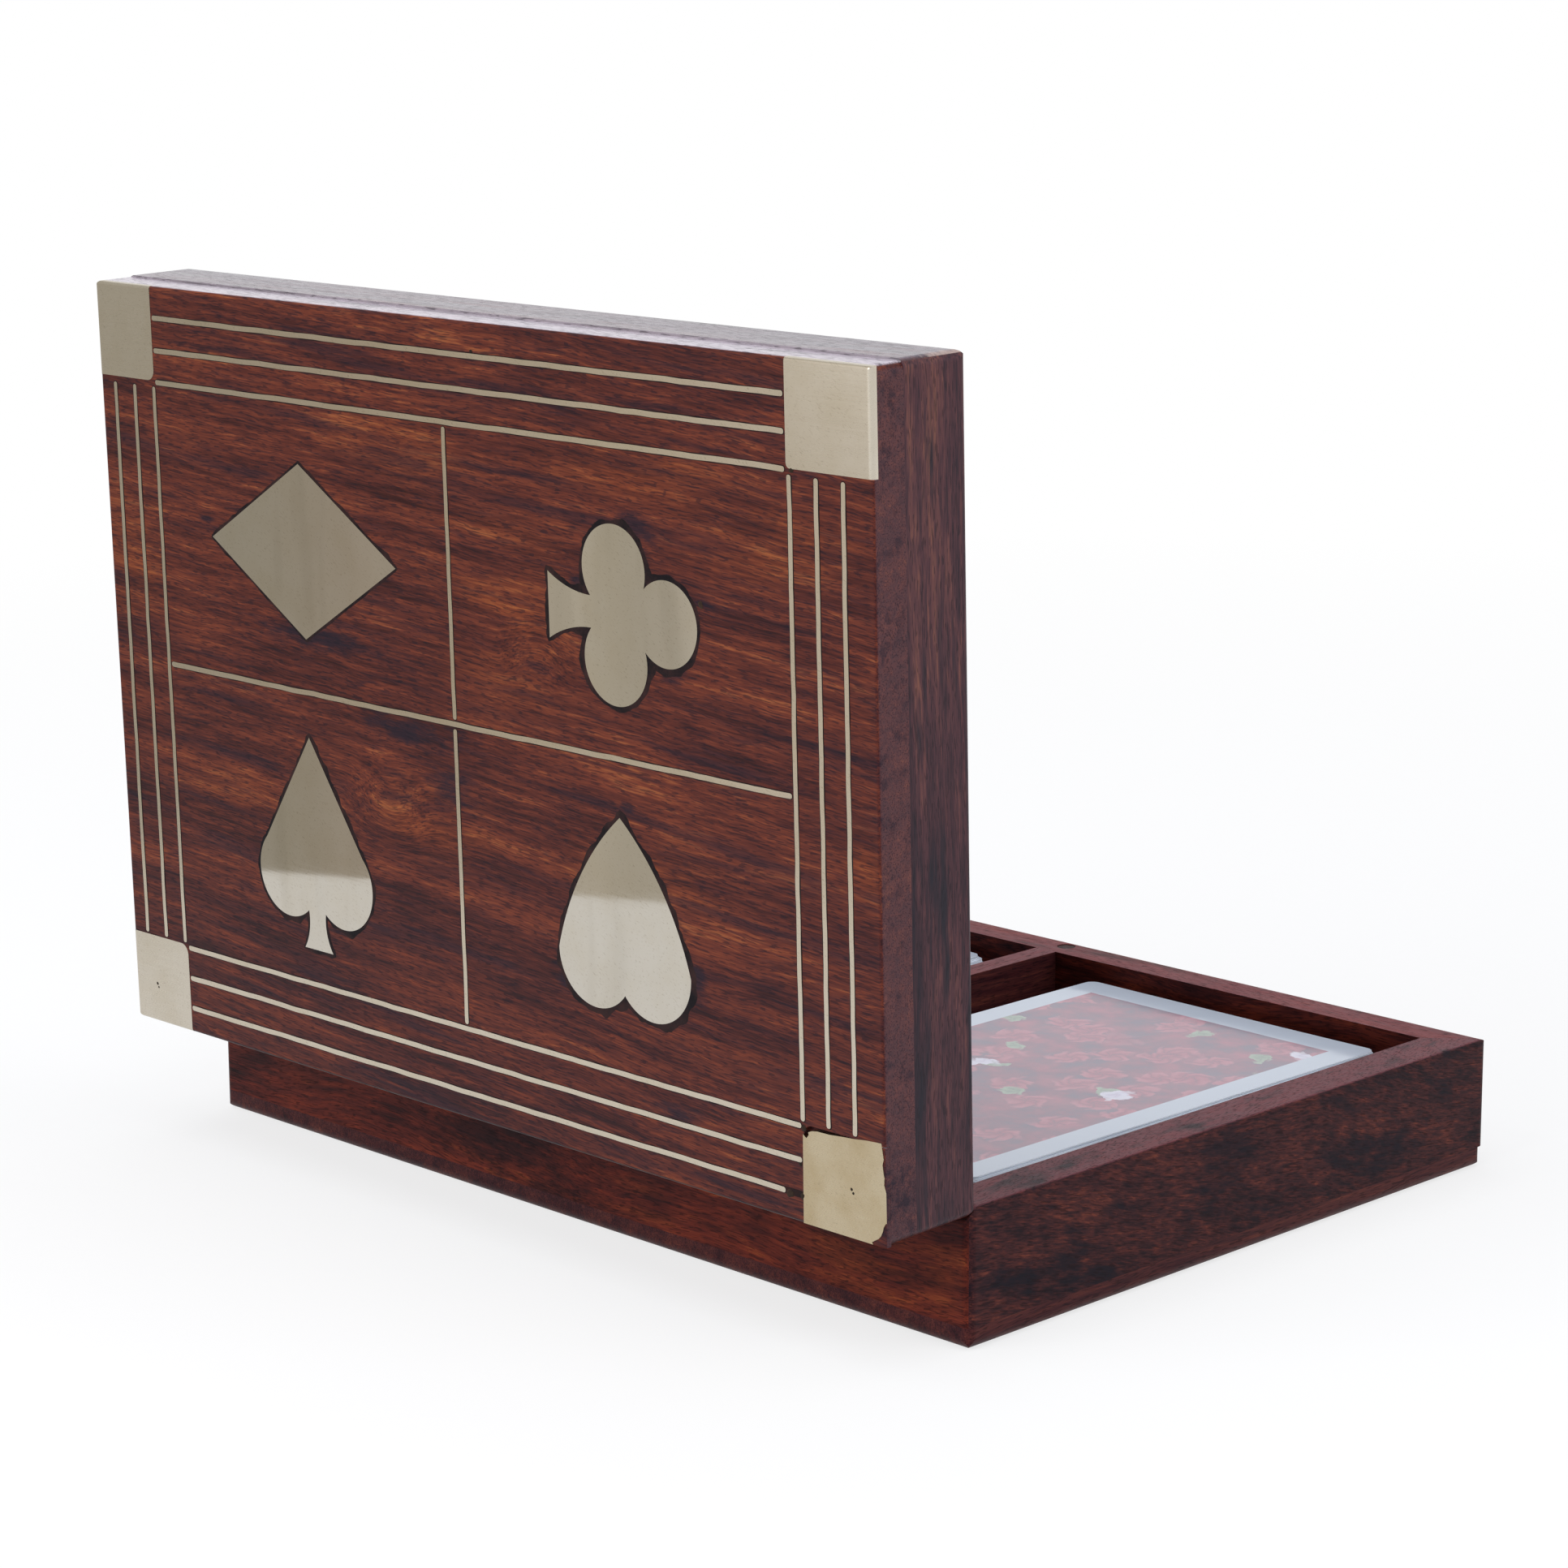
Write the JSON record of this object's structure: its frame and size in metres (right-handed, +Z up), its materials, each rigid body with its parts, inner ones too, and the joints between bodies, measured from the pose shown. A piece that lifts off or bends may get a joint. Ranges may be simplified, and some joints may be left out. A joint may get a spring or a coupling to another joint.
{
  "type": "playing card box",
  "caption": "Hinged wooden playing card box with two card wells and a mitred lid inlaid with brass card suits, border lines and corner plates.",
  "frame": {"origin": "middle of the base's underside, on the surface that the box stands on", "axes": "+X along the long side, +Y towards the hinges, +Z up. The lid stands open at rest."},
  "size_m": [0.1607, 0.1327, 0.1327],
  "materials": {
    "rosewood_panel": "satin wax over figured rosewood",
    "rosewood_lid": "satin wax over dark rosewood",
    "rosewood_base": "satin wax over dark rosewood",
    "rosewood_bottom": "satin wax over dark rosewood",
    "inlay_brass": "sanded satin, fine scratches",
    "inlay_filler": "dark resin, sanded flush",
    "hinge_brass": "satin",
    "magnet": "dark coated",
    "card_edges": "cut card edges",
    "card_back": "gloss varnished print"
  },
  "bodies": {
    "base": {"base_back_wall": "rosewood_base", "base_bottom_panel": "rosewood_bottom", "base_front_wall": "rosewood_base", "base_left_wall": "rosewood_base", "base_magnet": "magnet", "base_right_wall": "rosewood_base", "compartment_divider": "rosewood_base", "hinge_base_screws": "hinge_brass", "hinge_left_base_leaf": "hinge_brass", "hinge_left_pin": "hinge_brass", "hinge_right_base_leaf": "hinge_brass", "hinge_right_pin": "hinge_brass"},
    "lid": {"club_inlay": "inlay_brass", "corner_plate_back_left": "inlay_brass", "corner_plate_back_right": "inlay_brass", "corner_plate_front_left": "inlay_brass", "corner_plate_front_right": "inlay_brass", "corner_plate_pins": "inlay_brass", "cross_back": "inlay_brass", "cross_front": "inlay_brass", "cross_long": "inlay_brass", "diamond_inlay": "inlay_brass", "heart_inlay": "inlay_brass", "hinge_left_lid_leaf": "hinge_brass", "hinge_lid_screws": "hinge_brass", "hinge_right_lid_leaf": "hinge_brass", "lid_back_wall": "rosewood_lid", "lid_front_wall": "rosewood_lid", "lid_left_wall": "rosewood_lid", "lid_magnet": "magnet", "lid_panel": "rosewood_panel", "lid_right_wall": "rosewood_lid", "line_back_inner": "inlay_brass", "line_back_middle": "inlay_brass", "line_back_outer": "inlay_brass", "line_front_inner": "inlay_brass", "line_front_middle": "inlay_brass", "line_front_outer": "inlay_brass", "line_left_inner": "inlay_brass", "line_left_middle": "inlay_brass", "line_left_outer": "inlay_brass", "line_right_inner": "inlay_brass", "line_right_middle": "inlay_brass", "line_right_outer": "inlay_brass", "spade_inlay": "inlay_brass", "suit_filler": "inlay_filler"},
    "left_pack": {"left_card_pack": "card_edges", "left_top_card": "card_back"},
    "right_pack": {"right_card_pack": "card_edges", "right_top_card": "card_back"}
  },
  "joints": [
    {"name": "lid_hinge", "type": "hinge", "parent": "base", "child": "lid", "pos_m": [0, 0.0558, 0.01985], "axis": [1, 0, 0], "range_deg": [0, 91.4]},
    {"name": "left_pack_lift", "type": "slide", "parent": "base", "child": "left_pack", "axis": [0, 0, 1], "range_m": [0, 0.012]},
    {"name": "right_pack_lift", "type": "slide", "parent": "base", "child": "right_pack", "axis": [0, 0, 1], "range_m": [0, 0.012]}
  ]
}
